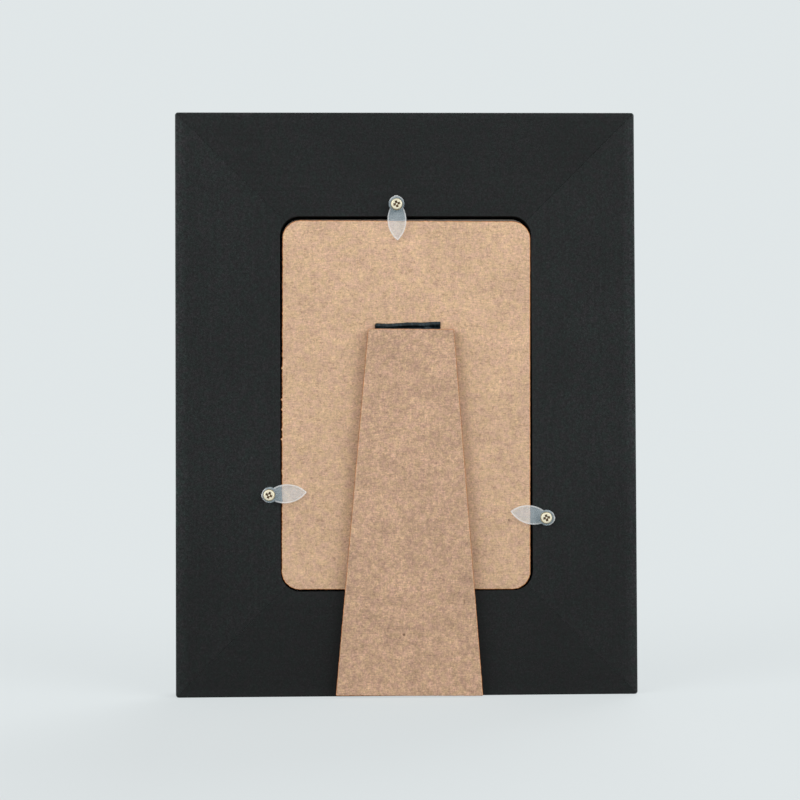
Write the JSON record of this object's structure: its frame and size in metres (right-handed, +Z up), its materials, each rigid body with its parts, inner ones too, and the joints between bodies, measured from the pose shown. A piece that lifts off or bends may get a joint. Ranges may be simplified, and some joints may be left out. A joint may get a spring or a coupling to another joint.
{
  "type": "easel back photo frame",
  "caption": "Black wooden photo frame with wide flat rails, a fibreboard back held by leaf-shaped turn buttons, and a tapered easel leg on a strap hinge.",
  "frame": {"origin": "middle of the bottom rail's lower face, on which the frame stands", "axes": "+Z up the frame, -Y out of its front, +Y out of its back; seen from behind, left is +X"},
  "size_m": [0.1906, 0.0189, 0.2413],
  "materials": {
    "black_paint": "fine-grained matt black coating over fibreboard rails",
    "nail_steel": "plain bent steel strip",
    "clear_glass": "clear float glass, polished",
    "insert_paper": "smooth printed paper",
    "grey_card": "unbleached card",
    "board_fibreboard": "raw medium density fibreboard, speckled",
    "leg_fibreboard": "raw medium density fibreboard, speckled, a little darker",
    "black_leatherette": "black leatherette with a soft grain",
    "black_ribbon": "black woven satin ribbon",
    "clear_plastic": "milky translucent moulded plastic",
    "screw_brass": "pale yellow zinc plating, satin"
  },
  "bodies": {
    "frame": {"rail_top": "black_paint", "rail_bottom": "black_paint", "rail_left": "black_paint", "rail_right": "black_paint", "corner_nails_top_left": "nail_steel", "corner_nails_top_right": "nail_steel", "corner_nails_bottom_left": "nail_steel", "corner_nails_bottom_right": "nail_steel", "glass_pane": "clear_glass", "insert_sheet": "insert_paper", "filler_card": "grey_card", "backing_board": "board_fibreboard", "hinge_strap": "black_leatherette", "stay_ribbon": "black_ribbon", "button_screw_top": "screw_brass", "button_screw_left": "screw_brass", "button_screw_right": "screw_brass"},
    "leg": {"easel_leg": "leg_fibreboard"},
    "button_top": {"turn_button_top": "clear_plastic"},
    "button_left": {"turn_button_left": "clear_plastic"},
    "button_right": {"turn_button_right": "clear_plastic"}
  },
  "joints": [
    {"name": "leg_hinge", "type": "hinge", "parent": "frame", "child": "leg", "pos_m": [-0.0005, 0.0079, 0.1516], "axis": [1, 0, 0], "range_deg": [0, 30], "deforming": ["hinge_strap", "stay_ribbon"]},
    {"name": "button_top_pivot", "type": "hinge", "parent": "frame", "child": "button_top", "pos_m": [0.0038, 0.00755, 0.2028], "axis": [0, 1, 0], "continuous": true},
    {"name": "button_left_pivot", "type": "hinge", "parent": "frame", "child": "button_left", "pos_m": [0.05665, 0.00755, 0.0831], "axis": [0, 1, 0], "continuous": true},
    {"name": "button_right_pivot", "type": "hinge", "parent": "frame", "child": "button_right", "pos_m": [-0.0574, 0.00755, 0.0732], "axis": [0, 1, 0], "continuous": true}
  ]
}
